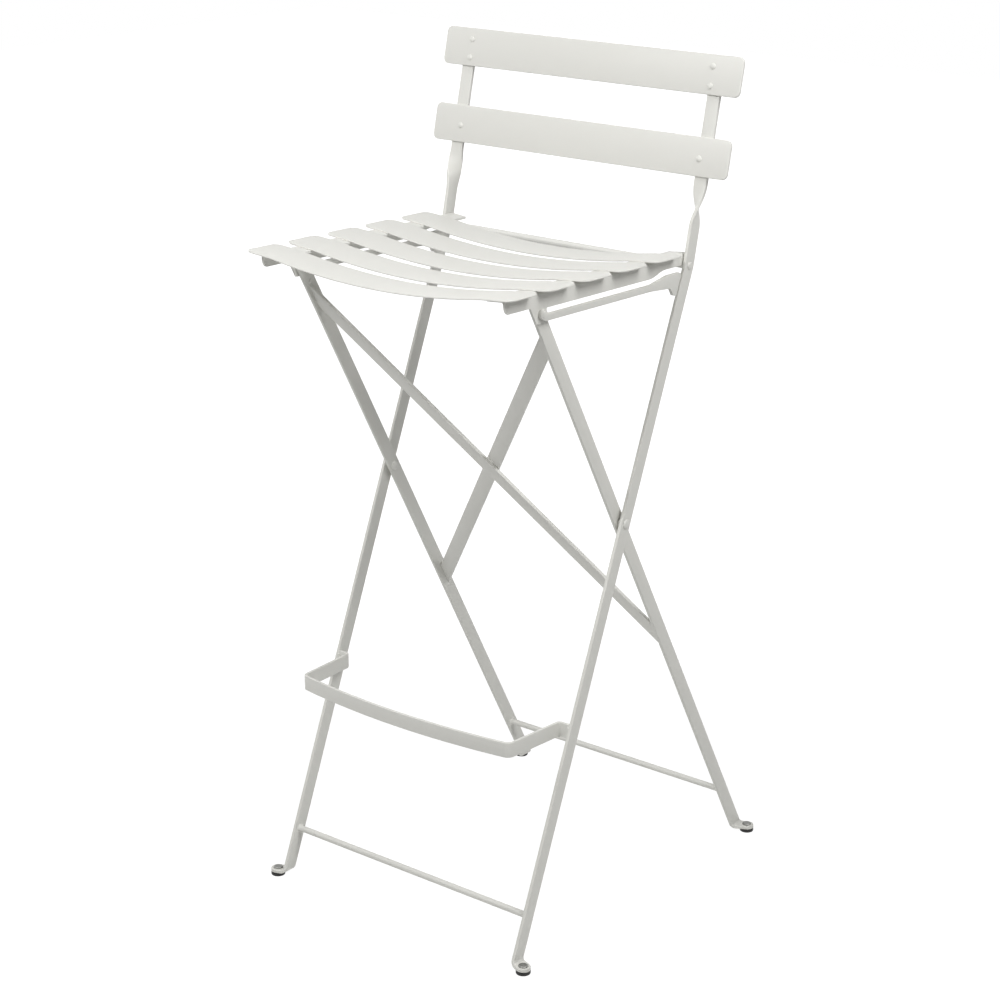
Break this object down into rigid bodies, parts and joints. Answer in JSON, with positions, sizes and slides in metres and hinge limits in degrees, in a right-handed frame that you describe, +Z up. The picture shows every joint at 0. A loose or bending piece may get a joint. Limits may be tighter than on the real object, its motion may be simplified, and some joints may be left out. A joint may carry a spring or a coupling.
{
  "type": "folding bar stool",
  "caption": "Folding bar stool in painted flat steel bar: slatted seat, slatted backrest, crossing legs and a bowed footrest strap.",
  "frame": {"origin": "on the floor under the middle of the whole stool's box, open and standing", "axes": "+Z up, -Y towards the sitter's feet (front), +X to the left of a person sitting on it facing -Y"},
  "size_m": [0.428, 0.4928, 0.9847],
  "materials": {
    "painted_steel": "warm pale grey powder coat, satin",
    "rivet_steel": "dull grey steel",
    "pad_rubber": "black, matt"
  },
  "bodies": {
    "back_frame": {"back_upright_left": "painted_steel", "back_upright_right": "painted_steel", "back_slat_upper": "painted_steel", "back_slat_lower": "painted_steel", "back_rivet_upper_left_1": "painted_steel", "back_rivet_upper_right_1": "painted_steel", "back_rivet_upper_left_2": "painted_steel", "back_rivet_upper_right_2": "painted_steel", "back_rivet_lower_left": "painted_steel", "back_rivet_lower_right": "painted_steel", "rear_cross_rod": "painted_steel", "front_cross_rod": "painted_steel", "footrest_bar": "painted_steel", "front_foot_pad_left": "pad_rubber", "front_foot_pad_right": "pad_rubber", "front_foot_rivet_left": "rivet_steel", "front_foot_rivet_right": "rivet_steel", "cross_pivot_rivet_left": "painted_steel", "cross_pivot_rivet_right": "painted_steel", "cross_pivot_washer_left": "painted_steel", "cross_pivot_washer_right": "painted_steel"},
    "leg_frame": {"rear_leg_left": "painted_steel", "rear_leg_right": "painted_steel", "leg_cross_rod": "painted_steel", "brace_strap_front": "painted_steel", "brace_strap_rear": "painted_steel", "brace_centre_rivet": "painted_steel", "rear_foot_pad_left": "pad_rubber", "rear_foot_pad_right": "pad_rubber", "rear_foot_rivet_left": "rivet_steel", "rear_foot_rivet_right": "rivet_steel"},
    "seat": {"seat_slat_1": "painted_steel", "seat_slat_2": "painted_steel", "seat_slat_3": "painted_steel", "seat_slat_4": "painted_steel", "seat_slat_5": "painted_steel", "seat_rail_left": "painted_steel", "seat_rail_right": "painted_steel", "stop_bar_left": "painted_steel", "stop_bar_right": "painted_steel", "seat_pivot_rivet_left": "painted_steel", "seat_pivot_rivet_right": "painted_steel"}
  },
  "joints": [
    {"name": "leg_fold", "type": "hinge", "parent": "back_frame", "child": "leg_frame", "pos_m": [0, -0.02684, 0.4784], "axis": [-1, 0, 0], "range_deg": [0, 28]},
    {"name": "seat_hinge", "type": "hinge", "parent": "leg_frame", "child": "seat", "pos_m": [0, -0.17512, 0.74869], "axis": [1, 0, 0], "range_deg": [0, 117.6]}
  ],
  "couplings": [
    {"joint": "seat_hinge", "follows": "leg_fold", "ratio": 4.2}
  ]
}
